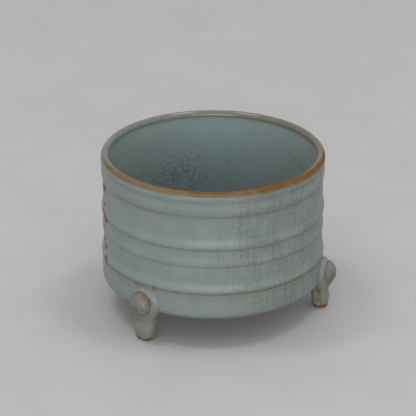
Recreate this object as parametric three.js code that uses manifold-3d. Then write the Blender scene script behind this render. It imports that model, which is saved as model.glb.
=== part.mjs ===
// Tripod incense burner: a straight-sided stoneware vessel with raised string bands, standing on three
// moulded legs, each with a round boss. Millimetres, +Z up, origin on the table under the vessel's centre.
// The front of the object faces -Y.
import * as THREE from "three";
import { mergeVertices } from "three/addons/utils/BufferGeometryUtils.js";
import Module from "manifold-3d";

const wasm = await Module();
wasm.setup();

// Driving dimensions of the vessel
const lipRadius = 65; // outer edge of the mouth
const lipSlope = 2.4; // from that edge in to the crest of the lip
const lipHeight = 4.1; // from the crest down to where the lip's outside stands upright
const lipInnerRounding = 2.5; // from the crest in to the mouth's inner edge
const lipInnerHeight = 3.1; // from the crest down to that edge
const lipGrooveDepth = 0.6; // how far the inside wall lies back under the lip
const lipGrooveDrop = 3.8; // from the crest down to that groove
const totalHeight = 95.6;
const baseHeight = 17.2; // underside of the vessel above the table
const floorThickness = 5.5;
const wallInset = 1; // how far the plain wall between the bands lies inside the mouth's edge
const wallThickness = 5.6;
const innerFillet = 7; // where the inside wall turns into the floor
const baseEdgeRounding = 4;
const baseRecessRadius = 44; // shallow turned recess in the underside
const baseRecessDepth = 1.2;

// Bands, from the top: heights of the lines below the mouth band and below the three ridges
const mouthBandBottom = 80.3;
const upperRidgeBottom = 60.3;
const middleRidgeBottom = 49.8;
const lowerRidgeBottom = 33.4;
const mouthBandFoot = 0.45; // how far the mouth band's lower edge stands out from the plain wall
const mouthBandFootHeight = 1.1; // from the line below the band to that edge
const mouthBandRise = 0.85; // how far its fullest place stands out
const mouthBandHeight = 4; // from the line below the band to its fullest place
const mouthBandNeck = 0.25; // how far the wall draws in again above it
const mouthBandNeckHeight = 3.7; // from its fullest place to that neck
const upperRidgeRise = 1;
const middleRidgeRise = 0.55;
const lowerRidgeRise = 1.15;
const footBandRise = 0.8; // the plain band at the foot of the wall
const ridgeRollHeight = 2; // height over which the upper and middle ridges roll out to their edge
const lowerRidgeRollHeight = 1.8;
const ridgeFlareHeight = 5.4; // height of the hollow flare above a ridge's edge
const creviceDepth = 0.12; // how far the line below a band is cut into the wall
const creviceHeight = 2; // height over which the wall draws in to that line

// Legs and bosses
const legPlaces = ["front_left", "right", "rear"];
const padLifts = [0.6, -1, 0]; // set by hand, so not all at one height
const firstLegAngle = -127; // degrees about +Z from +X: front left as seen from the front
const legPitch = 360 / legPlaces.length;
const legGap = 0.3; // clearance between a leg and the vessel, and between a boss and its leg
const soleHalfWidth = 4.2;
const soleHalfDepth = 3.2;
const toeHeight = 6; // height of the toe's widest place
const toeHalfWidth = 6.3;
const toeHalfDepth = 5.6;
const toeInset = 0.9; // from the foot band's face in to the toe's centre
const waistHeight = 12;
const waistHalfWidth = 6.9;
const waistHalfDepth = 4.8;
const waistInset = 1.6; // from the foot band's face in to the waist's centre
const padHalfWidth = 10.4;
const padRise = 4.3; // height of the pad's widest place above the base
const padHeight = 10.4; // from that place to the pad's top
const padThickness = 2.5; // how far the pad stands out from the foot band
const padDepth = 6.9; // from the pad's face to the middle of its oval section, inside the wall
const padEdge = 0.8; // share of the pad's upper half where its face starts to turn in
const padTopWidth = 0.14; // width of the pad's top end as a share of its widest place
const bossRise = 0.9; // height of the boss's centre above the pad's widest place
const bossHalfHeight = 7.3;
const bossTail = 1; // how much further the boss reaches below its centre than above it
const bossTaper = 0.45; // share of its depth that the boss has lost at its lower end
const bossTaperCurve = 1.5; // power by which that loss grows on the way down
const bossHalfWidth = 6.9;
const bossHalfDepth = 4.9;
const bossStandOut = 0.9; // from the pad's face to the boss's centre
const bossFullness = 0.1; // how much wider the boss is at its lower end, and narrower at its upper
const shankSquareness = 2.5; // 2 is an oval section, and more is squarer
const padSquareness = 2.8;

// Finishes
const glaze = { color: 0x98a7a3, roughness: 0.32, metalness: 0 };
const warmGlaze = { color: 0x8a8680, roughness: 0.4, metalness: 0 };

const latheSides = 72;
const legSides = 24;
const legRings = 22;
const bossSides = 24;
const bossRings = 16;

const wallRadius = lipRadius - wallInset;
const footBandRadius = wallRadius + footBandRise;
const toeRadius = footBandRadius - toeInset;
const waistRadius = footBandRadius - waistInset;
const padRadius = footBandRadius + padThickness;
const bossRadius = padRadius + bossStandOut;
const padMiddle = baseHeight + padRise;
const padTop = padMiddle + padHeight;
const bossHeight = padMiddle + bossRise;
const crestRadius = lipRadius - lipSlope;
const innerRadius = wallRadius - wallThickness;
const floorTop = baseHeight + floorThickness;

const mix = THREE.MathUtils.lerp;
const ease = THREE.MathUtils.smoothstep;

// Points of an arc about (r, z), from one angle to another in degrees; with a height of its own it is
// part of an oval
function arc(r, z, radius, from, to, steps, height = radius) {
  const points = [];
  for (let i = 0; i <= steps; i++) {
    const a = THREE.MathUtils.degToRad(from + ((to - from) * i) / steps);
    points.push([r + radius * Math.cos(a), z + height * Math.sin(a)]);
  }
  return points;
}

// The line cut in below a ridge or band, going up from a wall of the given radius
function crevice(radius, bottom) {
  return [
    [radius, bottom - creviceHeight],
    [radius - creviceDepth, bottom],
  ];
}

// The outside of one ridge, going up: the line below it, the rolled edge and the hollow flare above
function ridge(radiusBelow, bottom, rise, rollHeight) {
  const lineRadius = radiusBelow - creviceDepth;
  const edgeHeight = bottom + rollHeight;
  const rolledEdge = arc(lineRadius, edgeHeight, wallRadius + rise - lineRadius, -90, 0, 4, rollHeight);
  const points = [...crevice(radiusBelow, bottom), ...rolledEdge.slice(1)];
  const flareSteps = 4;
  for (let i = 1; i <= flareSteps; i++) {
    const t = i / flareSteps;
    points.push([wallRadius + rise * (1 - ease(t, 0, 1)), edgeHeight + t * ridgeFlareHeight]);
  }
  return points;
}

// Outline of the vessel's wall, from the axis under the base, out, up, over the lip and down inside
function vesselOutline() {
  const mouthBand = wallRadius + mouthBandRise;
  const mouthBandFull = mouthBandBottom + mouthBandHeight;
  return [
    [0, baseHeight + baseRecessDepth],
    [baseRecessRadius, baseHeight + baseRecessDepth],
    [baseRecessRadius + baseRecessDepth, baseHeight],
    ...arc(footBandRadius - baseEdgeRounding, baseHeight + baseEdgeRounding, baseEdgeRounding, -90, 0, 6),
    ...ridge(footBandRadius, lowerRidgeBottom, lowerRidgeRise, lowerRidgeRollHeight),
    ...ridge(wallRadius, middleRidgeBottom, middleRidgeRise, ridgeRollHeight),
    ...ridge(wallRadius, upperRidgeBottom, upperRidgeRise, ridgeRollHeight),
    ...crevice(wallRadius, mouthBandBottom),
    [wallRadius + mouthBandFoot, mouthBandBottom + mouthBandFootHeight],
    [mouthBand, mouthBandFull],
    [mouthBand - mouthBandNeck, mouthBandFull + mouthBandNeckHeight],
    ...arc(crestRadius, totalHeight - lipHeight, lipSlope, 0, 90, 6, lipHeight),
    ...arc(crestRadius, totalHeight - lipInnerHeight, lipInnerRounding, 90, 180, 5, lipInnerHeight).slice(1),
    [crestRadius - lipInnerRounding + lipGrooveDepth, totalHeight - lipGrooveDrop],
    ...arc(innerRadius - innerFillet, floorTop + innerFillet, innerFillet, 0, -90, 6),
    [0, floorTop],
  ];
}

// A solid turned about +Z from an outline of [radius, height] points
function turned(outline) {
  const profile = outline.map(([r, z]) => new THREE.Vector2(r, z));
  return new THREE.LatheGeometry(profile, latheSides).rotateX(Math.PI / 2);
}

function toSolid(geometry) {
  const bare = new THREE.BufferGeometry();
  bare.setAttribute("position", geometry.getAttribute("position"));
  if (geometry.index) bare.setIndex(geometry.index);
  const merged = mergeVertices(bare, 1e-4);
  const mesh = new wasm.Mesh({
    numProp: 3,
    vertProperties: merged.attributes.position.array,
    triVerts: new Uint32Array(merged.index.array),
  });
  return new wasm.Manifold(mesh);
}

function toGeometry(solid) {
  const { numProp, vertProperties, triVerts } = solid.getMesh();
  const positions = new Float32Array(triVerts.length * 3);
  triVerts.forEach((v, i) => {
    positions.set(vertProperties.subarray(v * numProp, v * numProp + 3), i * 3);
  });
  const geometry = new THREE.BufferGeometry();
  geometry.setAttribute("position", new THREE.BufferAttribute(positions, 3));
  geometry.computeVertexNormals();
  return geometry;
}

// Everything that the vessel fills, grown by the legs' clearance, which the legs are cut by
function legCutter() {
  const outside = footBandRadius + legGap;
  const below = baseHeight - legGap;
  return toSolid(
    turned([
      [0, below],
      ...arc(outside - baseEdgeRounding, below + baseEdgeRounding, baseEdgeRounding, -90, 0, 6),
      [outside, totalHeight],
      [0, totalHeight],
    ]),
  );
}

// Centre distance, half depth, half width and squareness of a leg at a height above the table
function legSection(z, lift) {
  const toe = Math.sqrt(1 - (1 - Math.min(z / toeHeight, 1)) ** 2);
  const waist = ease(z, toeHeight, waistHeight);
  const pad = ease(z, waistHeight, padMiddle + lift);
  const over = THREE.MathUtils.clamp((z - padMiddle - lift) / (padTop - padMiddle), 0, 1);
  const turnedIn = Math.max(over - padEdge, 0) / (1 - padEdge);
  const depth = mix(mix(mix(soleHalfDepth, toeHalfDepth, toe), waistHalfDepth, waist), padDepth, pad);
  const width = mix(mix(mix(soleHalfWidth, toeHalfWidth, toe), waistHalfWidth, waist), padHalfWidth, pad);
  return {
    radius: mix(mix(toeRadius, waistRadius, waist), padRadius - padDepth, pad),
    depth: depth - padThickness * (1 - Math.sqrt(1 - turnedIn ** 2)),
    width: width * Math.max(Math.sqrt(1 - over ** 2), padTopWidth),
    squareness: mix(shankSquareness, padSquareness, pad),
  };
}

// A leg as rings of a squarish oval stacked from the sole to the top of the pad, along +X; grown
// makes it that much larger all round
function legBlank(lift, grown = 0) {
  const top = padTop + lift;
  const positions = [];
  const index = [];
  for (let k = 0; k <= legRings; k++) {
    const z = (top * k) / legRings;
    const { radius, depth, width, squareness } = legSection(z, lift);
    for (let i = 0; i < legSides; i++) {
      const a = (2 * Math.PI * i) / legSides;
      const c = Math.cos(a);
      const s = Math.sin(a);
      const x = Math.sign(c) * Math.abs(c) ** (2 / squareness) * (depth + grown);
      const y = Math.sign(s) * Math.abs(s) ** (2 / squareness) * (width + grown);
      positions.push(radius + x, y, z);
    }
  }
  for (let k = 0; k < legRings; k++) {
    for (let i = 0; i < legSides; i++) {
      const a = k * legSides + i;
      const b = k * legSides + ((i + 1) % legSides);
      index.push(a, b, b + legSides, a, b + legSides, a + legSides);
    }
  }
  for (let i = 1; i < legSides - 1; i++) {
    const last = legRings * legSides;
    index.push(0, i + 1, i, last, last + i, last + i + 1);
  }
  const geometry = new THREE.BufferGeometry();
  geometry.setAttribute("position", new THREE.Float32BufferAttribute(positions, 3));
  geometry.setIndex(index);
  return toSolid(geometry);
}

// A boss: the part of an egg shape that stands out from the leg's pad, wider below its centre and running
// down onto the shank
function bossSolid(lift) {
  const egg = new THREE.SphereGeometry(1, bossSides, bossRings);
  egg.rotateX(Math.PI / 2);
  const position = egg.getAttribute("position");
  for (let i = 0; i < position.count; i++) {
    const up = position.getZ(i);
    const down = Math.max(-up, 0);
    position.setXYZ(
      i,
      position.getX(i) * (1 - bossTaper * down ** bossTaperCurve),
      position.getY(i) * (1 - bossFullness * up),
      up - (down * bossTail) / bossHalfHeight,
    );
  }
  egg.scale(bossHalfDepth, bossHalfWidth, bossHalfHeight);
  egg.translate(bossRadius, 0, bossHeight + lift);
  return toSolid(egg).subtract(legBlank(lift, legGap));
}

function named(name, geometry, finish) {
  const mesh = new THREE.Mesh(geometry, new THREE.MeshStandardMaterial(finish));
  mesh.name = name;
  return mesh;
}

const burner = new THREE.Group();
burner.add(named("thrown_body", turned(vesselOutline()), glaze));

legPlaces.forEach((place, i) => {
  const foot = new THREE.Group();
  foot.rotation.z = THREE.MathUtils.degToRad(firstLegAngle + i * legPitch);
  const leg = toGeometry(legBlank(padLifts[i]).subtract(legCutter()));
  foot.add(named(`leg_${place}`, leg, glaze));
  foot.add(named(`boss_${place}`, toGeometry(bossSolid(padLifts[i])), warmGlaze));
  burner.add(foot);
});

export default burner;
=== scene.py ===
"""A celadon tripod incense burner: a straight-sided vessel with raised string bands on three moulded legs.

Metres, +Z up, the front faces -Y. The object's sizes are written in millimetres and turned into metres by MM;
the studio's are in metres. Angles round the vessel are in degrees from -180 to 180, with -90 at the front.
"""
import math

import bpy
from mathutils import Euler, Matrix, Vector, noise


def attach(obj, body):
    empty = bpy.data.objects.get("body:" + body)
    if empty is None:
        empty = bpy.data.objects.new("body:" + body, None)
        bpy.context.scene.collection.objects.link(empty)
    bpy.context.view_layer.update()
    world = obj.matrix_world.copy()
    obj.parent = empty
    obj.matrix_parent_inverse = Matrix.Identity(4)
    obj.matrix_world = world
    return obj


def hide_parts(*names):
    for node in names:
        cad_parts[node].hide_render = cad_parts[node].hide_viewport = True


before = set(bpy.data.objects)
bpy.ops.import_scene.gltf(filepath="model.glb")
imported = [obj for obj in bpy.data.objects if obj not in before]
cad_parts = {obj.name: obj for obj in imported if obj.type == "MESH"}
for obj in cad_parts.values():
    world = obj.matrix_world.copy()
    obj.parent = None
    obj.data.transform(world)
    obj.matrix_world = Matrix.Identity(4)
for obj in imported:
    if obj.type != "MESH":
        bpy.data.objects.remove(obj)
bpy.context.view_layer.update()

MM = 0.001

# Vessel
LIP_RADIUS = 65.0
LIP_SLOPE = 2.4  # from the mouth's outer edge in to the crest of the lip
LIP_HEIGHT = 4.1  # from the crest down to where the lip's outside stands upright
LIP_INNER_ROUNDING = 2.5
LIP_INNER_HEIGHT = 3.1
LIP_GROOVE_DEPTH = 0.6  # how far the inside wall lies back under the lip
LIP_GROOVE_DROP = 3.8
TOTAL_HEIGHT = 95.6
BASE_HEIGHT = 17.2
FLOOR_THICKNESS = 5.5
WALL_RADIUS = 64.0
WALL_THICKNESS = 5.6
INNER_FILLET = 7.0
BASE_EDGE_ROUNDING = 4.0
BASE_RECESS_RADIUS = 44.0
BASE_RECESS_DEPTH = 1.2

# Bands, by the height of the line below each
MOUTH_BAND_BOTTOM = 80.3
UPPER_RIDGE_BOTTOM = 60.3
MIDDLE_RIDGE_BOTTOM = 49.8
LOWER_RIDGE_BOTTOM = 33.4
MOUTH_BAND_FOOT = 0.45
MOUTH_BAND_FOOT_HEIGHT = 1.1
MOUTH_BAND_RISE = 0.85
MOUTH_BAND_HEIGHT = 4.0
MOUTH_BAND_NECK = 0.25
MOUTH_BAND_NECK_HEIGHT = 3.7
UPPER_RIDGE_RISE = 1.0
MIDDLE_RIDGE_RISE = 0.55
LOWER_RIDGE_RISE = 1.15
FOOT_BAND_RISE = 0.8
RIDGE_ROLL_HEIGHT = 2.0
LOWER_RIDGE_ROLL_HEIGHT = 1.8
RIDGE_FLARE_HEIGHT = 5.4
CREVICE_DEPTH = 0.12
CREVICE_HEIGHT = 2.0

# Legs and bosses
FIRST_LEG_ANGLE = -127.0
LEG_SPACING = 120.0
SOLE_HALF_WIDTH = 4.2
SOLE_HALF_DEPTH = 3.2
TOE_HEIGHT = 6.0
TOE_HALF_WIDTH = 6.3
TOE_HALF_DEPTH = 5.2
TOE_RADIUS = 63.9
WAIST_HEIGHT = 12.0
WAIST_HALF_WIDTH = 6.9
WAIST_HALF_DEPTH = 5.0
WAIST_RADIUS = 63.2
PAD_HALF_WIDTH = 10.4
PAD_MIDDLE = 21.5
PAD_TOP = 31.9
PAD_THICKNESS = 2.5
PAD_DEPTH = 6.9  # from the pad's face to the middle of its oval section, inside the wall
PAD_EDGE = 0.8  # share of the pad's upper half where its face starts to turn in
BOSS_HEIGHT = 22.4
BOSS_HALF_HEIGHT = 7.3
BOSS_TAIL = 1.0  # how much further the boss reaches below its centre than above it
BOSS_TAPER = 0.45  # share of its depth that the boss has lost at its lower end
BOSS_TAPER_CURVE = 1.5
BOSS_HALF_WIDTH = 6.9
BOSS_HALF_DEPTH = 4.9
BOSS_STAND_OUT = 0.9  # from the pad's face to the boss's centre
BOSS_FULLNESS = 0.1  # how much wider the boss is below its centre, and narrower above
SHANK_SQUARENESS = 2.5
PAD_SQUARENESS = 2.8
SKIRT_RISE = 0.9  # of the clay pushed up against the lower half of the boss
COLLAR_RISE = 0.4  # of the low ridge round its upper half
EMBED = 0.3  # how far a leg or boss reaches into what it is luted to
LUTING = 2.4  # size of the fillet of clay and glaze round a leg's pad

FOOT_BAND_RADIUS = WALL_RADIUS + FOOT_BAND_RISE
PAD_RADIUS = FOOT_BAND_RADIUS + PAD_THICKNESS
BOSS_RADIUS = PAD_RADIUS + BOSS_STAND_OUT
INNER_RADIUS = WALL_RADIUS - WALL_THICKNESS
CREST_RADIUS = LIP_RADIUS - LIP_SLOPE
LIP_ARC = math.pi / 2 * math.sqrt((LIP_SLOPE**2 + LIP_HEIGHT**2) / 2)  # along the lip's outer slope
LIP_GROOVE_HEIGHT = TOTAL_HEIGHT - LIP_GROOVE_DROP
FLOOR_TOP = BASE_HEIGHT + FLOOR_THICKNESS

# Unevenness of the thrown wall and the legs, in mm unless said
OVAL = 0.05
OVAL_TURN = 40  # degrees
DENT = 0.06
DENT_SIZE = 26
RIPPLE = 0.02
RIPPLE_SIZE = 6
TRUE_MIDDLE = 20  # the base and floor grow truly round inside this radius
LEG_LUMP = 0.25
LEG_LUMP_SIZE = 5.0
BOSS_LUMP = 0.03  # share of its size
BOSS_LUMP_SIZE = 4

# Mesh density, with steps along the vessel's outline in mm
VESSEL_SIDES = 360
FINE_STEP = 0.42  # on the outside of the wall and on the lip
COARSE_STEP = 1.3
FINE_DEPTH = 3.0  # how far in from the wall's radius its fine part reaches
FINE_LIP = 8.0  # height of the lip's fine part
ARC_STEPS = 12
FLARE_STEPS = 10
OUTSIDE_SOFTENING = 4  # passes over the outside alone
SOFTENING = 3  # passes over the whole outline
LEG_ROWS = 110
LEG_SIDES = 96
BOSS_ROWS = 48
BOSS_SIDES = 64


def clamp(value, low=0.0, high=1.0):
    return max(low, min(high, value))


def smoothstep(low, high, value):
    t = clamp((value - low) / (high - low))
    return t * t * (3 - 2 * t)


def lerp(a, b, t):
    return a + (b - a) * t


def bell(distance, width):
    return math.exp(-(distance / width) ** 2)


def turn_to(angle, middle):
    """Difference between two angles in degrees, from -180 to 180."""
    return (angle - middle + 180) % 360 - 180


def turned(x, y, z, turn):
    """A point of a leg laid along +X, turned about the vessel's axis by an angle in radians."""
    return x * math.cos(turn) - y * math.sin(turn), x * math.sin(turn) + y * math.cos(turn), z


def ring_noise(angle, height, grain, seed=0.0):
    """Noise round the vessel from -1 to 1; grain is its size in mm."""
    a = math.radians(angle)
    place = Vector((math.cos(a) * WALL_RADIUS, math.sin(a) * WALL_RADIUS, height)) / grain
    return noise.noise(place + Vector((seed, seed * 1.7, seed * 0.6)))


def arc(r, z, radius, start, end, height=None):
    """Points of an arc about (r, z); with a height of its own it is part of an oval."""
    angles = [math.radians(lerp(start, end, i / ARC_STEPS)) for i in range(ARC_STEPS + 1)]
    return [(r + radius * math.cos(a), z + (height or radius) * math.sin(a)) for a in angles]


def crevice(radius, bottom):
    """The line cut in below a ridge or band, going up from a wall of the given radius."""
    return [(radius, bottom - CREVICE_HEIGHT), (radius - CREVICE_DEPTH, bottom)]


def ridge(radius_below, bottom, rise, roll_height=RIDGE_ROLL_HEIGHT):
    """The outside of one ridge, going up: the line below it, the rolled edge and the hollow flare above."""
    line_radius = radius_below - CREVICE_DEPTH
    edge_height = bottom + roll_height
    rolled_edge = arc(line_radius, edge_height, WALL_RADIUS + rise - line_radius, -90, 0, roll_height)
    points = crevice(radius_below, bottom) + rolled_edge[1:]
    for i in range(1, FLARE_STEPS + 1):
        t = i / FLARE_STEPS
        points.append((WALL_RADIUS + rise * (1 - smoothstep(0, 1, t)), edge_height + t * RIDGE_FLARE_HEIGHT))
    return points


def outside_outline():
    """From the axis under the base, out and up to the crest of the lip."""
    base_edge = FOOT_BAND_RADIUS - BASE_EDGE_ROUNDING
    mouth_band = WALL_RADIUS + MOUTH_BAND_RISE
    mouth_band_full = MOUTH_BAND_BOTTOM + MOUTH_BAND_HEIGHT
    return [
        (0, BASE_HEIGHT + BASE_RECESS_DEPTH),
        (BASE_RECESS_RADIUS, BASE_HEIGHT + BASE_RECESS_DEPTH),
        (BASE_RECESS_RADIUS + BASE_RECESS_DEPTH, BASE_HEIGHT),
        *arc(base_edge, BASE_HEIGHT + BASE_EDGE_ROUNDING, BASE_EDGE_ROUNDING, -90, 0),
        *ridge(FOOT_BAND_RADIUS, LOWER_RIDGE_BOTTOM, LOWER_RIDGE_RISE, LOWER_RIDGE_ROLL_HEIGHT),
        *ridge(WALL_RADIUS, MIDDLE_RIDGE_BOTTOM, MIDDLE_RIDGE_RISE),
        *ridge(WALL_RADIUS, UPPER_RIDGE_BOTTOM, UPPER_RIDGE_RISE),
        *crevice(WALL_RADIUS, MOUTH_BAND_BOTTOM),
        (WALL_RADIUS + MOUTH_BAND_FOOT, MOUTH_BAND_BOTTOM + MOUTH_BAND_FOOT_HEIGHT),
        (mouth_band, mouth_band_full),
        (mouth_band - MOUTH_BAND_NECK, mouth_band_full + MOUTH_BAND_NECK_HEIGHT),
        *arc(CREST_RADIUS, TOTAL_HEIGHT - LIP_HEIGHT, LIP_SLOPE, 0, 90, LIP_HEIGHT),
    ]


def inside_outline():
    """From the crest of the lip down inside to the middle of the floor."""
    return [
        *arc(CREST_RADIUS, TOTAL_HEIGHT - LIP_INNER_HEIGHT, LIP_INNER_ROUNDING, 90, 180, LIP_INNER_HEIGHT),
        (CREST_RADIUS - LIP_INNER_ROUNDING + LIP_GROOVE_DEPTH, LIP_GROOVE_HEIGHT),
        *arc(INNER_RADIUS - INNER_FILLET, FLOOR_TOP + INNER_FILLET, INNER_FILLET, 0, -90),
        (0, FLOOR_TOP),
    ]


def step_at(r, z):
    """How far apart the points of the vessel's outline may lie at a place."""
    on_outside = r > WALL_RADIUS - FINE_DEPTH and z > BASE_HEIGHT
    return FINE_STEP if on_outside or z > TOTAL_HEIGHT - FINE_LIP else COARSE_STEP


def resample(points):
    """The same outline with points no further apart than step_at says for their place."""
    dense = [points[0]]
    for (r0, z0), (r1, z1) in zip(points, points[1:]):
        length = math.hypot(r1 - r0, z1 - z0)
        count = max(1, math.ceil(length / step_at((r0 + r1) / 2, (z0 + z1) / 2)))
        dense += [(lerp(r0, r1, i / count), lerp(z0, z1, i / count)) for i in range(1, count + 1)]
    return dense


def soften(points, passes):
    """Rounds the corners of an outline as a thick glaze does; its two ends stay."""
    for _ in range(passes):
        middle = [
            ((a[0] + 2 * b[0] + c[0]) / 4, (a[1] + 2 * b[1] + c[1]) / 4)
            for a, b, c in zip(points, points[1:], points[2:])
        ]
        points = [points[0], *middle, points[-1]]
    return points


# What each point of a surface carries, as shares from 0 to 1 that its material reads
GLAZE_LAYERS = ("rim", "ember", "line_and_shade", "iron", "pale", "crackle", "veil", "bare", "pooled_and_lit")
BOSS_LAYERS = ("patch", "thick", "edge")


def add_shares(layers, shares):
    """One more point's shares; a layer that shares leaves out gets 0."""
    for name, values in layers.items():
        values.append(shares.get(name, 0.0))


def make_object(name, vertices, faces, layers, material):
    mesh = bpy.data.meshes.new(name)
    mesh.from_pydata([(x * MM, y * MM, z * MM) for x, y, z in vertices], [], faces)
    for layer, values in layers.items():
        mesh.attributes.new(layer, "FLOAT", "POINT").data.foreach_set("value", values)
    mesh.shade_smooth()
    mesh.materials.append(material)
    mesh.update()
    piece = bpy.data.objects.new(name, mesh)
    bpy.context.scene.collection.objects.link(piece)
    return piece


def grid_faces(rows, sides):
    """Faces of rows of rings that close on themselves, numbered ring by ring."""
    return [
        (k * sides + i, k * sides + (i + 1) % sides, (k + 1) * sides + (i + 1) % sides, (k + 1) * sides + i)
        for k in range(rows - 1)
        for i in range(sides)
    ]


def closed_faces(rows, sides):
    """The same, with a face over the first ring and one over the last."""
    top = (rows - 1) * sides
    caps = [tuple(reversed(range(sides))), tuple(range(top, top + sides))]
    return grid_faces(rows, sides) + caps


# Iron spots and flecks on the outside as (angle, height, half width and half height in mm, strength)
IRON_SPOTS = (
    (-172, 82.5, 2.0, 2.8, 0.6), (-168, 77.3, 5.0, 2.4, 1.0), (-169, 71.5, 2.0, 1.2, 0.6),
    (-168, 67.6, 3.0, 1.3, 0.9), (-166, 60.5, 7.0, 3.4, 1.2), (-168, 56.5, 2.0, 1.2, 0.6),
    (-168, 53.0, 2.5, 1.6, 0.8), (-167, 45.7, 3.0, 2.2, 0.8), (-166, 41.5, 4.0, 2.2, 0.9),
    (-162, 35.0, 4.0, 3.0, 0.8), (-28.5, 88.5, 0.9, 1.4, 0.8),
)
# Duller marks in the same form: a pit on the upper ridge, and stains on the lowest line over the front leg
DULL_SPOTS = (
    (-139.5, 62.0, 0.8, 0.7, 0.8), (-132, 33.1, 3.6, 1.7, 0.7), (-126, 33.4, 3.2, 0.6, 0.5),
    (-120.5, 33.2, 2.2, 2.0, 0.75), (-121.5, 37.5, 0.5, 0.5, 0.4),
)
# Dull marks on the inside in the same form; the last three make one slanting smear
INNER_SPOTS = (
    (81.5, 63.0, 1.0, 1.0, 0.55), (67.5, 65.0, 0.7, 1.6, 0.3), (77.5, 55.0, 0.6, 0.6, 0.35),
    (45.5, 65.0, 0.8, 1.0, 0.35), (36, 75.0, 2.6, 1.2, 0.35), (31, 73.0, 2.6, 1.4, 0.4),
    (27, 71.0, 2.6, 1.6, 0.35),
)
# Lines below the bands, brown and partly painted shade in the cuts: height, half width in mm, strength at the
# left and at the right, strength of the painted shade, partly pooled glaze, that runs down from the line, and
# the height in mm over which it fades
BAND_LINES = (
    (MOUTH_BAND_BOTTOM, 0.9, 0.48, 0.62, 0.28, 2.4),
    (UPPER_RIDGE_BOTTOM, 1.2, 0.05, 0.28, 0.10, 3.0),
    (MIDDLE_RIDGE_BOTTOM, 1.0, 0.05, 0.24, 0.08, 2.4),
    (LOWER_RIDGE_BOTTOM, 1.1, 0.62, 0.90, 0.42, 3.4),
)
LINE_RISE = 0.3  # the darkest place lies this far above the cut line
# Edges where the glaze has drawn thin, as (height, half width in mm, strength at the left and at the right)
THIN_EDGES = (
    (MOUTH_BAND_BOTTOM + 9.2, 1.3, 0.50, 0.75),
    (BASE_HEIGHT + 2.5, 3.0, 0.30, 0.30),
)
# Clouds of dark crackle inside as (angle, height, half width in degrees, half height in mm, strength)
VEILS = ((116, 54, 28, 16, 0.8), (-60, 55, 60, 30, 0.25))

# Where marks fade in and out round the vessel, each as two angles
RIGHT_SIDE_IN = (-120, -35)
RIGHT_SIDE_OUT = (80, 140)
CRACKLE_IN = (-104, -62)
CRACKLE_OUT = (55, 110)
CRACKLE_LEAN = 14  # the crackle starts this much further right below the lowest line
RUST_IN = (-88, -58)
RUST_OUT = (-36, -22)

# The burnt edge of the mouth: its edges in mm along the lip, outward from the crest, and its angles
BURNT_MIDDLE = -80
BURNT_FADE = (74, 112)  # angles from its middle over which it fades to a faint line
BURNT_LEAST = 0.3  # strength of that line
BURNT_NARROWING = (32, 90)  # angles from the front over which its inner edge moves outward
INNER_EDGE_FRONT = -1.6
INNER_EDGE_BACK = 1.4
INNER_EDGE_SOFTNESS = 0.4
OUTER_EDGE_LEFT = 3.9
OUTER_EDGE_RIGHT = 4.4
OUTER_EDGE_BACK = 2.4
OUTER_EDGE_SOFTNESS = 0.7
EMBER_IN = (-130, -98)
EMBER_LEAST = 0.12  # orange share at the left
EMBER_WIDENING = (-85, -55)
EMBER_EDGE_LEFT = 1.6
EMBER_EDGE_RIGHT = 2.8

# Other marks of the vessel's glaze
WALL_DEPTH = 2.0  # how far in from a wall's radius its marks reach
LIP_STAIN = 0.55
LIP_STAIN_MIDDLE = 22
LIP_STAIN_WIDTH = 58
LIP_PALE = 0.8
# Middle angle and width of the painted light on the inside wall, carried by the lighter pooled glaze
PAINTED_LIGHT_MIDDLE = 88
PAINTED_LIGHT_WIDTH = 48
FAINT_CRACKLE = 0.16


def spots(angle, height, marks):
    """How strongly the marks of a list cover a place, with ragged edges."""
    total = 0.0
    for middle, z, half_width, half_height, strength in marks:
        across = math.radians(turn_to(angle, middle)) * WALL_RADIUS / half_width
        distance = math.hypot(across, (height - z) / half_height)
        if distance < 2:
            ragged = 1 + 0.6 * ring_noise(angle, height, 1.5, seed=7)
            total = max(total, strength * (1 - smoothstep(0.4 * ragged, 1.4 * ragged, distance)))
    return total


def rightward(angle):
    """0 at the left and 1 at the right, for what is stronger on the right side of the front."""
    return smoothstep(*RIGHT_SIDE_IN, angle) * (1 - smoothstep(*RIGHT_SIDE_OUT, angle))


def lip_place(r, z):
    """Distance in mm from the crest of the lip along its outline: positive outside, negative inside."""
    if r < CREST_RADIUS:
        return -math.hypot(CREST_RADIUS - r, TOTAL_HEIGHT - z)
    around = math.atan2((z - TOTAL_HEIGHT + LIP_HEIGHT) / LIP_HEIGHT, (r - CREST_RADIUS) / LIP_SLOPE)
    return LIP_ARC * (1 - around / (math.pi / 2))


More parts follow.
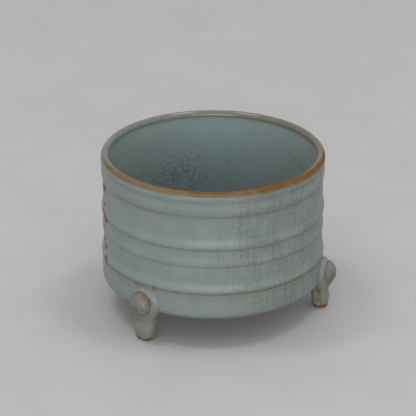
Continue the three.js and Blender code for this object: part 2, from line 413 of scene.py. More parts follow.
def burnt_lip(r, z, angle):
    """The burnt edge of the mouth, where the body shows: how far it covers a place, and its orange share.

    It is wide in front and a faint line at the back; its inner part is orange and its outer part tan.
    """
    if z < TOTAL_HEIGHT - 2 * LIP_HEIGHT:
        return 0.0, 0.0
    strong = 1 - smoothstep(*BURNT_FADE, abs(turn_to(angle, BURNT_MIDDLE)))
    wide = 1 - smoothstep(*BURNT_NARROWING, abs(turn_to(angle, -90)))
    place = lip_place(r, z) + 0.2 * ring_noise(angle, 0, 9, seed=2)
    inner_edge = lerp(INNER_EDGE_BACK, INNER_EDGE_FRONT, wide)
    outer_edge = lerp(OUTER_EDGE_BACK, lerp(OUTER_EDGE_LEFT, OUTER_EDGE_RIGHT, rightward(angle)), strong)
    cover = smoothstep(inner_edge - INNER_EDGE_SOFTNESS, inner_edge + INNER_EDGE_SOFTNESS, place)
    cover *= 1 - smoothstep(outer_edge - OUTER_EDGE_SOFTNESS, outer_edge + OUTER_EDGE_SOFTNESS, place)
    patchy = 1 + 0.25 * ring_noise(angle, place, 5, seed=3)
    ember_edge = lerp(EMBER_EDGE_LEFT, EMBER_EDGE_RIGHT, smoothstep(*EMBER_WIDENING, angle))
    ember = 1 - smoothstep(ember_edge, ember_edge + 1, place + 0.4 * ring_noise(angle, 0, 5, seed=23))
    ember *= lerp(EMBER_LEAST, 1.0, smoothstep(*EMBER_IN, angle)) * patchy
    return clamp(lerp(BURNT_LEAST, 1.0, strong) * cover * min(patchy, 1)), clamp(ember)


def lip_stain(z, angle):
    """The lip's brown tinge, strongest at the back right."""
    on_lip = smoothstep(TOTAL_HEIGHT - 4.2, TOTAL_HEIGHT - 3.0, z)
    return LIP_STAIN * bell(turn_to(angle, LIP_STAIN_MIDDLE), LIP_STAIN_WIDTH) * on_lip


def band_lines_and_shade(z, angle):
    """The brown lines below the bands, partly painted shade in the cuts, and the painted shade, partly pooled
    glaze, that runs down from each.
    """
    side = rightward(angle)
    total = 0.0
    for bottom, width, left, right, shade, fading in BAND_LINES:
        drop = bottom + LINE_RISE + 0.2 * ring_noise(angle, bottom, 14, seed=5) - z
        patchy = clamp(0.85 + 0.7 * ring_noise(angle, bottom, 7, seed=bottom))
        total = max(total, lerp(left, right, side) * patchy * bell(drop, width))
        # painted shade running down below the line, partly pooled glaze
        if drop > 0:
            total = max(total, lerp(0.85, 1.1, side) * shade * math.exp(-drop / fading))
    return total


def rusty_line(z, angle):
    """The rusty stretch of the lowest line, to the right of the front."""
    rust = smoothstep(*RUST_IN, angle) * (1 - smoothstep(*RUST_OUT, angle))
    rust *= clamp(0.8 + 0.9 * ring_noise(angle, z, 5, seed=31))
    return 0.5 * rust * bell(z - LOWER_RIDGE_BOTTOM - 0.5, 0.5)


def thin_edges(z, angle):
    """How thin the glaze has drawn on the vessel's edges."""
    side = rightward(angle)
    total = 0.0
    for height, width, left, right in THIN_EDGES:
        patchy = 0.8 + 0.4 * ring_noise(angle, height, 12, seed=height + 3)
        total = max(total, lerp(left, right, side) * patchy * bell(z - height, width))
    return total


def crackle_zone(z, angle):
    """How much crackle the wall shows: most at the right, less near the lip, and a little all round."""
    lean = CRACKLE_LEAN * (1 - smoothstep(LOWER_RIDGE_BOTTOM - 4, LOWER_RIDGE_BOTTOM + 8, z))
    zone = smoothstep(*CRACKLE_IN, angle - lean) * (1 - smoothstep(*CRACKLE_OUT, angle))
    zone *= 0.8 + 0.5 * ring_noise(angle, z, 16, seed=11)
    zone *= 1 - 0.4 * smoothstep(MOUTH_BAND_BOTTOM, TOTAL_HEIGHT - LIP_HEIGHT, z)
    return clamp(max(zone, FAINT_CRACKLE + 0.1 * ring_noise(angle, z, 16, seed=41)))


def outside_shares(r, z, angle):
    """Shares of the glaze's layers at a place on the vessel's outside."""
    rim, ember = burnt_lip(r, z, angle)
    line_and_shade = max(spots(angle, z, DULL_SPOTS), lip_stain(z, angle))
    iron = spots(angle, z, IRON_SPOTS)
    pale = LIP_PALE * smoothstep(2.6, 1.6, lip_place(r, z)) if z > TOTAL_HEIGHT - LIP_HEIGHT else 0.0
    crackle = 0.0
    if r > WALL_RADIUS - WALL_DEPTH:
        # brown lines and painted shade below the bands
        line_and_shade = max(line_and_shade, band_lines_and_shade(z, angle))
        iron = max(iron, rusty_line(z, angle))
        pale = max(pale, thin_edges(z, angle))
        crackle = crackle_zone(z, angle)
    bare = 1 - smoothstep(BASE_RECESS_RADIUS - 1, BASE_RECESS_RADIUS + 1, r) if z < BASE_HEIGHT + 2 else 0.0
    return {
        "rim": rim, "ember": ember, "line_and_shade": line_and_shade, "iron": iron,
        "pale": pale, "crackle": crackle, "bare": bare,
    }


def inside_shares(r, z, angle):
    """Shares of the glaze's layers at a place on the vessel's inside."""
    rim, ember = burnt_lip(r, z, angle)
    marks = spots(angle, z, INNER_SPOTS) if r > INNER_RADIUS - WALL_DEPTH else 0.0
    # the 0.12 band is painted shade in the groove under the lip
    line_and_shade = max(marks, 0.12 * bell(z - LIP_GROOVE_HEIGHT, 1.0), lip_stain(z, angle))
    pale = LIP_PALE * smoothstep(LIP_GROOVE_HEIGHT - 0.4, LIP_GROOVE_HEIGHT + 0.8, z)
    veil = sum(
        strength * bell(turn_to(angle, middle), half_width) * bell(z - height, half_height)
        for middle, height, half_width, half_height, strength in VEILS
    )
    veil = clamp(veil * (1 + 0.5 * ring_noise(angle, z, 15, seed=13)))
    # Lighter, bluer glaze inside: partly thick pooled glaze low down, partly painted light, strongest on the
    # far inside wall and weakest on the near one
    pooled_and_lit = max(1 - smoothstep(FLOOR_TOP + 10, TOTAL_HEIGHT - 4, z), 0.6 * (1 - pale))
    on_wall = lerp(0.1, 1.0, bell(turn_to(angle, PAINTED_LIGHT_MIDDLE), PAINTED_LIGHT_WIDTH))
    pooled_and_lit *= lerp(0.4, on_wall, smoothstep(INNER_RADIUS - 25, INNER_RADIUS, r))
    return {"rim": rim, "ember": ember, "line_and_shade": line_and_shade, "pale": pale, "veil": veil, "pooled_and_lit": pooled_and_lit}


def uneven(angle, z):
    """How far the thrown wall falls short of true round, in mm."""
    oval = OVAL * (1 + math.cos(math.radians(2 * angle + OVAL_TURN)))
    dents = DENT * (1 + ring_noise(angle, z, DENT_SIZE, seed=17))
    ripples = RIPPLE * (1 + ring_noise(angle, z, RIPPLE_SIZE, seed=19))
    return oval + dents + ripples


def make_vessel(material):
    outside = resample(outside_outline())
    inside = resample(inside_outline())[1:]
    rows = soften(soften(outside, OUTSIDE_SOFTENING) + inside, SOFTENING)
    vertices, layers = [], {name: [] for name in GLAZE_LAYERS}

    def add(r, z, angle, is_outside):
        a = math.radians(angle)
        radius = r - uneven(angle, z) * smoothstep(0, TRUE_MIDDLE, r)
        vertices.append((radius * math.cos(a), radius * math.sin(a), z))
        shares_at = outside_shares if is_outside else inside_shares
        add_shares(layers, shares_at(r, z, angle))

    for k, (r, z) in enumerate(rows[1:-1], start=1):
        for i in range(VESSEL_SIDES):
            add(r, z, 360 * i / VESSEL_SIDES - 180, k < len(outside))
    rings = len(rows) - 2
    faces = grid_faces(rings, VESSEL_SIDES)
    for row, outer, is_outside in ((rows[0], 0, True), (rows[-1], (rings - 1) * VESSEL_SIDES, False)):
        pole = len(vertices)
        add(row[0], row[1], 0, is_outside)
        for i in range(VESSEL_SIDES):
            a, b = outer + i, outer + (i + 1) % VESSEL_SIDES
            faces.append((pole, b, a) if is_outside else (pole, a, b))
    return make_object("vessel", vertices, faces, layers, material)


# Each leg's own handwork: how far its pad and boss are lifted in mm; how deep its side seams are in mm, which
# also says how dark they and the pits beside them are; how far its sole is burnt; and the burnt patches of
# its boss as (sideways and upward from its centre, radius in mm, strength)
LEGS = (
    {
        "place": "front_left", "lift": 0.6, "seam": 0.25, "burnt": 0.6,
        "patches": ((4.8, 3.4, 2.0, 1.0), (1.8, 0.8, 1.7, 0.5)),
    },
    {
        "place": "right", "lift": -1.0, "seam": 0.9, "burnt": 1.0,
        "patches": ((-5.2, -4.0, 1.5, 1.0), (-5.4, -1.0, 2.4, 0.4)),
    },
    {
        "place": "rear", "lift": 0.0, "seam": 0.6, "burnt": 0.8,
        "patches": ((2.5, 3.5, 2.0, 0.7), (-4.0, -2.0, 1.5, 0.4)),
    },
)
# Heights on a leg in mm over which its marks begin and end
SEAM_IN = (1.5, 4)
SEAM_OUT = (11, 15)
SEAM_STAIN_IN = (2, 5)
SEAM_STAIN_OUT = (12, 17)
LEG_PALE_OUT = (14, 24)
WORN_HEIGHT = (0.2, 2.7)  # of the sole's bare clay, where none of it is burnt and where all of it is
WORN_RAGGEDNESS = 1.5
PIT_HEIGHT = 11.4
# Strengths of the marks of a leg
SOLE_WORN = 0.9
# Painted shade over the whole leg, which stands in less light than the wall
LEG_PAINTED_SHADE = 0.22  # all over it
# Thinner, darker glaze below the pad, partly thin glaze and partly painted shade
LEG_THIN_GLAZE_AND_SHADE = 0.4  # below the pad
# Painted shadow of the boss on the shank below it, and painted shade in the crease round its upper outline
UNDER_BOSS_PAINTED_SHADOW = 0.3
BESIDE_BOSS_PAINTED_SHADE = 0.1
SEAM_STAIN = 0.6
# Places on and under a boss, up from its centre in mm or, for its edge, as shares of its outline
UNDER_BOSS = -9.8
THICK_OUT = (-6.0, -1.5)
EDGE_IN = (0.86, 1.0)


def leg_section(z, lift):
    """Centre distance, half depth, half width and squareness of a leg at a height above the table."""
    toe = math.sqrt(1 - (1 - min(z / TOE_HEIGHT, 1)) ** 2)
    waist = smoothstep(TOE_HEIGHT, WAIST_HEIGHT, z)
    pad = smoothstep(WAIST_HEIGHT, PAD_MIDDLE + lift, z)

    def measure(at_sole, at_toe, at_waist, at_pad):
        return lerp(lerp(lerp(at_sole, at_toe, toe), at_waist, waist), at_pad, pad)

    radius = measure(TOE_RADIUS, TOE_RADIUS, WAIST_RADIUS, PAD_RADIUS - PAD_DEPTH)
    depth = measure(SOLE_HALF_DEPTH, TOE_HALF_DEPTH, WAIST_HALF_DEPTH, PAD_DEPTH)
    width = measure(SOLE_HALF_WIDTH, TOE_HALF_WIDTH, WAIST_HALF_WIDTH, PAD_HALF_WIDTH)
    over = clamp((z - PAD_MIDDLE - lift) / (PAD_TOP - PAD_MIDDLE))
    turned_in = clamp((over - PAD_EDGE) / (1 - PAD_EDGE))
    depth -= PAD_THICKNESS * (1 - math.sqrt(1 - turned_in**2))
    width *= math.sqrt(max(1 - over**2, 0.02))
    return radius, depth, width, lerp(SHANK_SQUARENESS, PAD_SQUARENESS, pad)


def vessel_surface(z):
    """Outside radius of the vessel where the legs are luted on; 0 below the base."""
    if z <= BASE_HEIGHT:
        return 0.0
    rise = min(z - BASE_HEIGHT, BASE_EDGE_ROUNDING)
    inset = BASE_EDGE_ROUNDING - math.sqrt(BASE_EDGE_ROUNDING**2 - (BASE_EDGE_ROUNDING - rise) ** 2)
    return FOOT_BAND_RADIUS - inset


def luted(x, y, z):
    """Runs a leg's surface out onto the vessel's in a small fillet that ends just below the surface."""
    surface = vessel_surface(z)
    if surface <= abs(y):
        return x
    wall = math.sqrt(surface**2 - y**2)
    proud = x - wall
    t = clamp(0.5 + 0.5 * proud / LUTING)
    return wall + proud * t + LUTING * t * (1 - t) - EMBED * (1 - t)


def boss_ring(y, z, lift):
    """0 at the boss's centre and 1 on its outline."""
    up = (z - BOSS_HEIGHT - lift) / BOSS_HALF_HEIGHT
    if up < 0:
        up *= BOSS_HALF_HEIGHT / (BOSS_HALF_HEIGHT + BOSS_TAIL)
    return math.hypot(y / (BOSS_HALF_WIDTH * (1 - BOSS_FULLNESS * clamp(up, -1, 1))), up)


def leg_front(y, z, lift):
    """Distance of a leg's front face from the vessel's axis, y mm to the side of its middle."""
    radius, depth, width, squareness = leg_section(z, lift)
    return radius + depth * max(1 - abs(y / width) ** squareness, 0) ** (1 / squareness)


def round_boss(y, z, lift):
    """How far the clay round the boss stands out of a leg's front: a skirt below and a low collar above."""
    ring = boss_ring(y, z, lift)
    above = smoothstep(BOSS_HEIGHT - 5, BOSS_HEIGHT + 2, z - lift)
    return lerp(SKIRT_RISE * bell(ring - 0.98, 0.2), COLLAR_RISE * bell(ring - 1.16, 0.14), above)


def leg_vertex(z, angle, lift, seam_depth):
    """A point of a leg laid along +X, at a height and an angle in radians round its section."""
    radius, depth, width, squareness = leg_section(z, lift)
    c, s = math.cos(angle), math.sin(angle)
    forward = math.copysign(abs(c) ** (2 / squareness), c)
    y = math.copysign(abs(s) ** (2 / squareness), s) * width
    out = radius + forward * depth
    if forward > 0:
        out += round_boss(y, z, lift) * smoothstep(0, 0.4, forward)
    seam = bell(forward + 0.1, 0.28) * smoothstep(*SEAM_IN, z) * (1 - smoothstep(*SEAM_OUT, z))
    y -= math.copysign(seam_depth * seam, y)
    lump = noise.noise(Vector((out, y, z)) / LEG_LUMP_SIZE) * LEG_LUMP
    y += lump * s
    return luted(out + lump * c, y, z), y, z


def leg_shares(x, y, z, leg, seed):
    """Shares of the glaze's layers on a leg: its worn sole, seams and pits, painted shade over it, under the
    boss and round it, and thinner glaze low down that also paints shade.
    """
    ragged = noise.noise(Vector((x, y, z * 0.5)) / 2.2 + Vector((seed, 0, 0)))
    worn_height = lerp(*WORN_HEIGHT, leg["burnt"]) + WORN_RAGGEDNESS * ragged
    worn = SOLE_WORN * (1 - smoothstep(worn_height - 0.5, worn_height + 0.5, z))
    pit = bell((z - PIT_HEIGHT) * 0.7, 1.3) * bell(x - WAIST_RADIUS - 0.8, 1.1) * (0.8 if y < 0 else 0.4)
    seam = bell(x - WAIST_RADIUS + 0.6, 0.8)
    seam *= smoothstep(*SEAM_STAIN_IN, z) * (1 - smoothstep(*SEAM_STAIN_OUT, z))
    # Painted shade: over the whole leg, the boss's shadow below it, and the crease round its upper outline
    up = z - BOSS_HEIGHT - leg["lift"]
    under_boss = UNDER_BOSS_PAINTED_SHADOW * bell(math.hypot((up - UNDER_BOSS) / 1.6, (y + 2.1) / 3.5), 1.0)
    beside_boss = BESIDE_BOSS_PAINTED_SHADE * bell(boss_ring(y, z, leg["lift"]) - 1.03, 0.07) * smoothstep(-4, 1, up)
    line_and_shade = LEG_PAINTED_SHADE + max(under_boss, beside_boss, SEAM_STAIN * leg["seam"] * seam)
    # Thinner glaze below the pad, partly painted shade
    pale = LEG_THIN_GLAZE_AND_SHADE * (1 - smoothstep(*LEG_PALE_OUT, z + 2 * ragged))
    return {"line_and_shade": clamp(line_and_shade), "iron": clamp(max(worn, leg["seam"] * pit)), "pale": clamp(pale)}


def make_leg(leg, angle, seed, material):
    vertices, layers = [], {name: [] for name in GLAZE_LAYERS}
    turn = math.radians(angle)
    for k in range(LEG_ROWS + 1):
        z = (PAD_TOP + leg["lift"]) * (0.5 - 0.5 * math.cos(math.pi * k / LEG_ROWS))
        for i in range(LEG_SIDES):
            x, y, z = leg_vertex(z, 2 * math.pi * i / LEG_SIDES, leg["lift"], leg["seam"])
            vertices.append(turned(x, y, z, turn))
            add_shares(layers, leg_shares(x, y, z, leg, seed))
    faces = closed_faces(LEG_ROWS + 1, LEG_SIDES)
    return make_object(f"moulded_leg_{leg['place']}", vertices, faces, layers, material)


def boss_vertex(tilt, angle, leg, seed):
    """A point of a boss laid along +X, by its angle up from the boss's middle and its angle round it."""
    middle = BOSS_HEIGHT + leg["lift"]
    up = math.sin(tilt)
    down = max(-up, 0)
    taper = 1 - BOSS_TAPER * down**BOSS_TAPER_CURVE
    x = BOSS_RADIUS + BOSS_HALF_DEPTH * math.cos(tilt) * math.cos(angle) * taper
    y = BOSS_HALF_WIDTH * math.cos(tilt) * math.sin(angle) * (1 - BOSS_FULLNESS * up)
    z = middle + BOSS_HALF_HEIGHT * up - BOSS_TAIL * down
    raised = noise.noise(Vector((x, y, z)) / BOSS_LUMP_SIZE + Vector((seed, seed, 0)))
    lump = 1 - BOSS_LUMP * (1 + raised)
    x, y, z = lerp(BOSS_RADIUS, x, lump), y * lump, lerp(middle, z, lump)
    return max(x, leg_front(y, z, leg["lift"]) - EMBED), y, z


def boss_shares(x, y, z, leg):
    """Shares of the boss's layers: its burnt patches, the thicker glaze of its lower end, and its edge."""
    ragged = noise.noise(Vector((x, y, z)) / 1.8)
    up = z - BOSS_HEIGHT - leg["lift"]
    patch = max(
        strength * bell(math.hypot(y - side, up - rise), radius)
        for side, rise, radius, strength in leg["patches"]
    )
    return {
        "patch": clamp(patch * (1 + 0.8 * ragged)),
        "thick": 1 - smoothstep(*THICK_OUT, up + 1.5 * ragged),
        "edge": smoothstep(*EDGE_IN, boss_ring(y, z, leg["lift"])),
    }


def make_boss(leg, angle, seed, material):
    """An egg of clay pressed onto the pad, its lower end smoothed down onto the shank."""
    vertices, layers = [], {name: [] for name in BOSS_LAYERS}
    turn = math.radians(angle)
    for k in range(1, BOSS_ROWS):
        tilt = math.pi * k / BOSS_ROWS - math.pi / 2
        for i in range(BOSS_SIDES):
            x, y, z = boss_vertex(tilt, 2 * math.pi * i / BOSS_SIDES, leg, seed)
            vertices.append(turned(x, y, z, turn))
            add_shares(layers, boss_shares(x, y, z, leg))
    faces = closed_faces(BOSS_ROWS - 1, BOSS_SIDES)
    return make_object(f"pressed_boss_{leg['place']}", vertices, faces, layers, material)


def srgb(red, green, blue):
    """A colour written as a screen shows it, 0 to 255, as Blender's linear values."""
    def linear(value):
        value /= 255
        return value / 12.92 if value <= 0.04045 else ((value + 0.055) / 1.055) ** 2.4
    return linear(red), linear(green), linear(blue), 1.0


# Colours of the vessel and legs
GLAZE = srgb(137, 149, 146)
GLAZE_DEEP = srgb(130, 143, 140)
GLAZE_MILKY = srgb(146, 157, 153)
# Lighter and bluer than the glaze: pooled glaze, and painted light on the inside
GLAZE_POOLED_AND_LIT = srgb(138, 158, 159)
GLAZE_STAIN = srgb(88, 98, 100)
THIN_GLAZE = srgb(123, 121, 108)
LIP_BEIGE = srgb(107, 102, 92)
LIP_TAN = srgb(122, 100, 71)
LIP_EMBER = srgb(116, 74, 32)
IRON_DARK = srgb(74, 57, 38)
IRON_ORANGE = srgb(140, 92, 48)
# Brown of the lines and stains, also used for painted shade
LINE_AND_SHADE = srgb(106, 88, 62)
CRACK = srgb(82, 69, 62)
CRACK_TINT = srgb(112, 112, 102)
BISCUIT = srgb(158, 122, 92)
# Colours of the bosses
WARM_GREY = srgb(124, 125, 122)
WARM_GREY_DEEP = srgb(107, 107, 103)
BOSS_GREEN = srgb(119, 127, 119)
BOSS_BURNT = srgb(106, 86, 66)
BOSS_TAN = srgb(146, 117, 84)

# Sockets of the node that mixes two colours
MIX_FACTOR, MIX_A, MIX_B = 0, 6, 7
MIX_RESULT = 2
NOISE_ROUGHNESS = 0.55  # how strong each finer layer of a noise is beside the one before it


class Shader:
    """A Principled material and short ways to wire nodes into it. Sizes and distances are in mm."""

    def __init__(self, name):
        self.material = bpy.data.materials.new(name)
        self.material.use_nodes = True
        self.tree = self.material.node_tree
        self.surface = self.tree.nodes["Principled BSDF"]
        self.place = self.tree.nodes.new("ShaderNodeTexCoord").outputs["Object"]

    def node(self, kind, inputs, **settings):
        """A new node; an input is another node's output or a value."""
        made = self.tree.nodes.new(kind)
        for key, value in settings.items():
            setattr(made, key, value)
        for key, value in inputs.items():
            if isinstance(value, bpy.types.NodeSocket):
                self.tree.links.new(value, made.inputs[key])
            else:
                made.inputs[key].default_value = value
        return made

    def layer(self, name):
        return self.node("ShaderNodeAttribute", {}, attribute_name=name).outputs["Fac"]

    def noise(self, size, detail=3.0, place=None):
        """Noise whose lumps are about size mm across."""
        inputs = {"Vector": place or self.place, "Scale": 1 / (size * MM), "Detail": detail}
        inputs["Roughness"] = NOISE_ROUGHNESS
        return self.node("ShaderNodeTexNoise", inputs).outputs["Fac"]

    def span(self, value, low, high, to_low=0.0, to_high=1.0):
        """A value run smoothly from one range into another and held at its ends."""
        inputs = {"Value": value, "From Min": low, "From Max": high, "To Min": to_low, "To Max": to_high}
        return self.node("ShaderNodeMapRange", inputs, interpolation_type="SMOOTHSTEP").outputs["Result"]

    def math(self, operation, a, b):
        return self.node("ShaderNodeMath", {0: a, 1: b}, operation=operation).outputs[0]

    def vector_math(self, operation, inputs):
        return self.node("ShaderNodeVectorMath", inputs, operation=operation).outputs[0]

    def mix(self, factor, a, b):
        inputs = {MIX_FACTOR: factor, MIX_A: a, MIX_B: b}
        return self.node("ShaderNodeMix", inputs, data_type="RGBA").outputs[MIX_RESULT]

    def warped(self, size, amount):
        """The object's coordinates, pushed about by up to half the amount by noise of a size."""
        inputs = {"Vector": self.place, "Scale": 1 / (size * MM), "Detail": 2.0}
        field = self.node("ShaderNodeTexNoise", inputs).outputs["Color"]
        centred = self.vector_math("SUBTRACT", {0: field, 1: (0.5, 0.5, 0.5)})
        scaled = self.vector_math("SCALE", {0: centred, "Scale": amount * MM})
        return self.vector_math("ADD", {0: self.place, 1: scaled})

    def stretched(self, share):
        """The object's coordinates with their height scaled down to a share, for upright streaks."""
        return self.vector_math("MULTIPLY", {0: self.place, 1: (1.0, 1.0, share)})

    def unrolled(self, size, amount):
        """The warped coordinates of the vessel's wall rolled out flat: along the wall, up it and 0."""
        place = self.node("ShaderNodeSeparateXYZ", {0: self.warped(size, amount)}).outputs
        along = self.math("MULTIPLY", self.math("ARCTAN2", place["Y"], place["X"]), WALL_RADIUS * MM)
        return self.node("ShaderNodeCombineXYZ", {"X": along, "Y": place["Z"]}).outputs[0]

    def cracks(self, size, width, place, disorder, dimensions="3D"):
        """Lines between cells of about size mm, width mm wide: 1 on a line and 0 beside it.

        A disorder of 0 gives square cells that stand upright, and 1 cells of every shape.
        """
        inputs = {"Vector": place, "Scale": 1 / (size * MM), "Randomness": disorder}
        settings = {"feature": "DISTANCE_TO_EDGE", "voronoi_dimensions": dimensions}
        cells = self.node("ShaderNodeTexVoronoi", inputs, **settings)
        return self.span(cells.outputs["Distance"], 0.25 * width / size, 0.75 * width / size, 1.0, 0.0)

    def bump(self, height, distance, strength, after=None):
        """A surface roughened by a height, on top of another bump where one is given."""
        inputs = {"Height": height, "Distance": distance * MM, "Strength": strength}
        if after is not None:
            inputs["Normal"] = after
        return self.node("ShaderNodeBump", inputs).outputs["Normal"]

    def finish(self, color, roughness, normal, shine=None):
        if shine is not None:
            self.tree.links.new(shine, self.surface.inputs["Specular IOR Level"])
        self.tree.links.new(color, self.surface.inputs["Base Color"])
        self.tree.links.new(roughness, self.surface.inputs["Roughness"])
        self.tree.links.new(normal, self.surface.inputs["Normal"])
        return self.material


def crackled(s, color):
    """The wall's stained crackle: upright streaks, wide cells and narrower ones between them."""
    zone = s.layer("crackle")
    streaks = s.noise(1.3, 2.0, place=s.stretched(0.08))
    color = s.mix(s.math("MULTIPLY", zone, s.span(streaks, 0.35, 0.65, 0.0, 0.45)), color, CRACK_TINT)
    wide = s.math("MULTIPLY", s.cracks(4.0, 0.3, s.unrolled(7, 0.8), 0.5, "2D"), s.span(zone, 0.05, 0.5))
    narrow = s.math("MULTIPLY", s.cracks(2.1, 0.24, s.unrolled(4, 0.6), 0.55, "2D"), s.span(zone, 0.3, 0.8))
    cracked = s.math("MAXIMUM", wide, s.math("MULTIPLY", narrow, 0.7))
    stain = s.math("MULTIPLY", cracked, s.span(s.noise(8, 2.0), 0.32, 0.62, 0.12, 0.6))
    return s.mix(stain, color, CRACK), cracked


def celadon():
    """Satin grey-green glaze: milky where thick, beige and brown where it thins, with a stained crackle,
    painted light inside and painted shade below the bands and on the legs.
    """
    s = Shader("celadon_glaze")
    grain = s.noise(2.2, 2.0)
    fine = s.noise(0.9, 2.0)
    # The glaze's own clouds, its thin edges, and its pooled depth inside with the painted light laid over it
    color = s.mix(s.span(s.noise(14, 4.0), 0.35, 0.65), GLAZE_DEEP, GLAZE)
    color = s.mix(s.span(s.noise(5, 2.0), 0.52, 0.75, 0.0, 0.35), color, GLAZE_MILKY)
    # Thin glaze; on the legs it also paints the shade they stand in
    thin = s.mix(s.span(s.layer("pale"), 0.55, 0.75), THIN_GLAZE, LIP_BEIGE)
    color = s.mix(s.math("MULTIPLY", s.layer("pale"), s.span(grain, 0.2, 0.7, 0.65, 1.0)), color, thin)
    color = s.mix(s.layer("pooled_and_lit"), color, GLAZE_POOLED_AND_LIT)
    # The dark crackle inside and the stained one on the wall
    blots = s.math("MULTIPLY", s.cracks(3.6, 1.0, s.warped(6, 1.4), 0.9), s.layer("veil"))
    depth = s.span(s.noise(6, 2.0), 0.3, 0.65, 0.3, 0.75)
    color = s.mix(s.math("MULTIPLY", blots, depth), color, GLAZE_STAIN)
    color, cracked = crackled(s, color)
    # Brown lines and painted shade, iron spots, the burnt lip and the bare clay
    color = s.mix(s.math("MULTIPLY", s.layer("line_and_shade"), s.span(grain, 0.2, 0.7, 0.8, 1.1)), color, LINE_AND_SHADE)
    iron = s.math("MULTIPLY", s.layer("iron"), s.span(fine, 0.25, 0.6, 0.6, 1.2))
    color = s.mix(s.span(iron, 0.05, 0.75), color, s.mix(s.span(grain, 0.3, 0.55), IRON_DARK, IRON_ORANGE))
    burnt = s.mix(s.layer("ember"), LIP_TAN, LIP_EMBER)
    color = s.mix(s.math("MULTIPLY", s.layer("rim"), s.span(fine, 0.2, 0.5, 0.75, 1.0)), color, burnt)
    color = s.mix(s.layer("bare"), color, BISCUIT)
    # Rougher and duller where it is dry, and glossy on the lip
    dry = s.math("MAXIMUM", s.math("MAXIMUM", s.layer("rim"), iron), s.layer("bare"))
    rough = s.math("MAXIMUM", s.span(s.noise(3, 2.0), 0.3, 0.7, 0.36, 0.46), s.math("MULTIPLY", dry, 0.6))
    rough = s.math("MULTIPLY", rough, s.span(s.layer("pale"), 0.6, 0.8, 1.0, 0.24))
    shine = s.span(dry, 0.0, 1.0, 0.5, 0.15)
    normal = s.bump(s.math("SUBTRACT", 1.0, cracked), 0.02, 0.3, after=s.bump(grain, 0.04, 0.15))
    return s.finish(color, rough, normal, shine)


def warm_glaze():
    """Thin lilac-grey glaze of the bosses, thicker and greener below, with burnt patches."""
    s = Shader("warm_glaze")
    grain = s.noise(1.4, 2.0)
    color = s.mix(s.span(s.noise(4, 3.0), 0.35, 0.65), WARM_GREY_DEEP, WARM_GREY)
    color = s.mix(s.math("MULTIPLY", s.layer("thick"), 0.9), color, BOSS_GREEN)
    color = s.mix(s.math("MULTIPLY", s.layer("edge"), s.span(grain, 0.3, 0.7, 0.0, 0.12)), color, LINE_AND_SHADE)
    burnt = s.mix(s.span(grain, 0.3, 0.6), BOSS_BURNT, BOSS_TAN)
    color = s.mix(s.span(s.layer("patch"), 0.17, 0.9), color, burnt)
    return s.finish(color, s.span(grain, 0.3, 0.7, 0.38, 0.5), s.bump(grain, 0.04, 0.4))


# Studio, in metres
FLOOR_PALE = srgb(188, 187, 188)
FLOOR_PALE_CLOUD = srgb(192, 191, 192)
FLOOR_BOUNCE = srgb(118, 117, 118)
BACKDROP = srgb(190, 189, 190)
DOME = 0.66
FLOOR_HALF = 6.0
# Each lamp's name, width and height, place, and power in watts; all three aim at LAMP_AIM
LAMPS = (
    ("overhead_left", 0.30, 0.34, (-0.48, 0.0, 1.45), 2.9),
    ("overhead_right", 0.24, 0.34, (0.40, 0.0, 1.45), 2.7),
    ("front_low", 1.4, 0.7, (0.0, -1.6, 0.38), 10.8),
)
LAMP_AIM = (0, 0, 0.05)
# The camera stands straight in front of the object, at a distance and elevation from a point on its axis
CAMERA_DISTANCE = 1.300
CAMERA_ELEVATION = math.radians(24.25)
CAMERA_CENTRE_HEIGHT = 0.046
CAMERA_PITCH = math.radians(23.74)
CAMERA_YAW = math.radians(-0.137)
CAMERA_LENS = 192.18
SENSOR_WIDTH = 36


def pale_ray(nodes, links):
    """1 for what the camera sees, straight or in a gloss, and 0 for the light that a surface passes on."""
    path = nodes.new("ShaderNodeLightPath")
    seen = nodes.new("ShaderNodeMath")
    seen.operation = "MAXIMUM"
    links.new(path.outputs["Is Camera Ray"], seen.inputs[0])
    links.new(path.outputs["Is Glossy Ray"], seen.inputs[1])
    return seen.outputs[0]


def floor_material():
    """A plain floor, pale to look at, which throws little light back up at the object."""
    s = Shader("pale_floor")
    seen = pale_ray(s.tree.nodes, s.tree.links)
    pale = s.mix(s.span(s.noise(60), 0.3, 0.7), FLOOR_PALE, FLOOR_PALE_CLOUD)
    color = s.mix(seen, FLOOR_BOUNCE, pale)
    return s.finish(color, s.span(s.noise(3, 2.0), 0.3, 0.7, 0.7, 0.85), s.bump(s.noise(0.9), 0.03, 0.3))


def make_floor():
    half = FLOOR_HALF / MM
    vertices = [(-half, -half, 0), (half, -half, 0), (half, half, 0), (-half, half, 0)]
    floor = make_object("studio_floor", vertices, [(0, 1, 2, 3)], {}, floor_material())


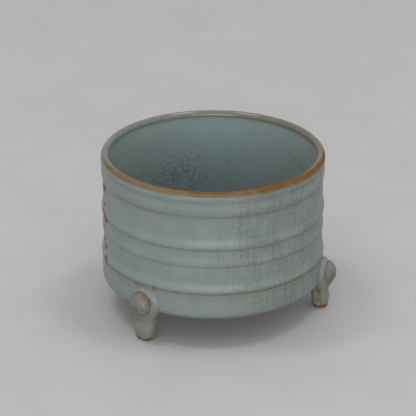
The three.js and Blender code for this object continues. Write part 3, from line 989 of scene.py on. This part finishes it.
def make_light(name, width, height, place, power):
    light = bpy.data.lights.new(name, "AREA")
    light.shape = "RECTANGLE"
    light.size, light.size_y = width, height
    light.energy = power
    lamp = bpy.data.objects.new(name, light)
    lamp.visible_camera = False
    lamp.location = place
    lamp.rotation_euler = (Vector(LAMP_AIM) - Vector(place)).to_track_quat("-Z", "Y").to_euler()
    bpy.context.scene.collection.objects.link(lamp)


def make_camera():
    """The photograph's view, from a camera model fitted to the mouth, the bands, the base and the legs."""
    camera = bpy.data.cameras.new("camera")
    camera.sensor_width = SENSOR_WIDTH
    camera.lens = CAMERA_LENS
    view = bpy.data.objects.new("camera", camera)
    back = CAMERA_DISTANCE * math.cos(CAMERA_ELEVATION)
    height = CAMERA_DISTANCE * math.sin(CAMERA_ELEVATION) + CAMERA_CENTRE_HEIGHT
    view.location = (0, -back, height)
    view.rotation_euler = Euler((math.pi / 2 - CAMERA_PITCH, 0, -CAMERA_YAW))
    bpy.context.scene.collection.objects.link(view)
    bpy.context.scene.camera = view


def set_world():
    """An even dome of soft light, which the camera sees as pale as the floor."""
    world = bpy.data.worlds.new("studio")
    world.use_nodes = True
    nodes, links = world.node_tree.nodes, world.node_tree.links
    mix = nodes.new("ShaderNodeMix")
    mix.data_type = "RGBA"
    mix.inputs[MIX_A].default_value = (DOME, DOME, DOME, 1)
    mix.inputs[MIX_B].default_value = BACKDROP
    links.new(pale_ray(nodes, links), mix.inputs[MIX_FACTOR])
    links.new(mix.outputs[MIX_RESULT], nodes["Background"].inputs["Color"])
    bpy.context.scene.world = world


def dress(piece, node):
    """Puts a piece in the place of its node of the solids."""
    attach(piece, "root")
    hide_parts(node)


make_camera()
set_world()
make_floor()
for lamp in LAMPS:
    make_light(*lamp)

glaze, warm = celadon(), warm_glaze()
dress(make_vessel(glaze), "thrown_body")
for number, leg in enumerate(LEGS):
    leg_angle = FIRST_LEG_ANGLE + LEG_SPACING * number
    dress(make_leg(leg, leg_angle, number, glaze), f"leg_{leg['place']}")
    dress(make_boss(leg, leg_angle, number, warm), f"boss_{leg['place']}")

bpy.context.scene.view_settings.view_transform = "Standard"
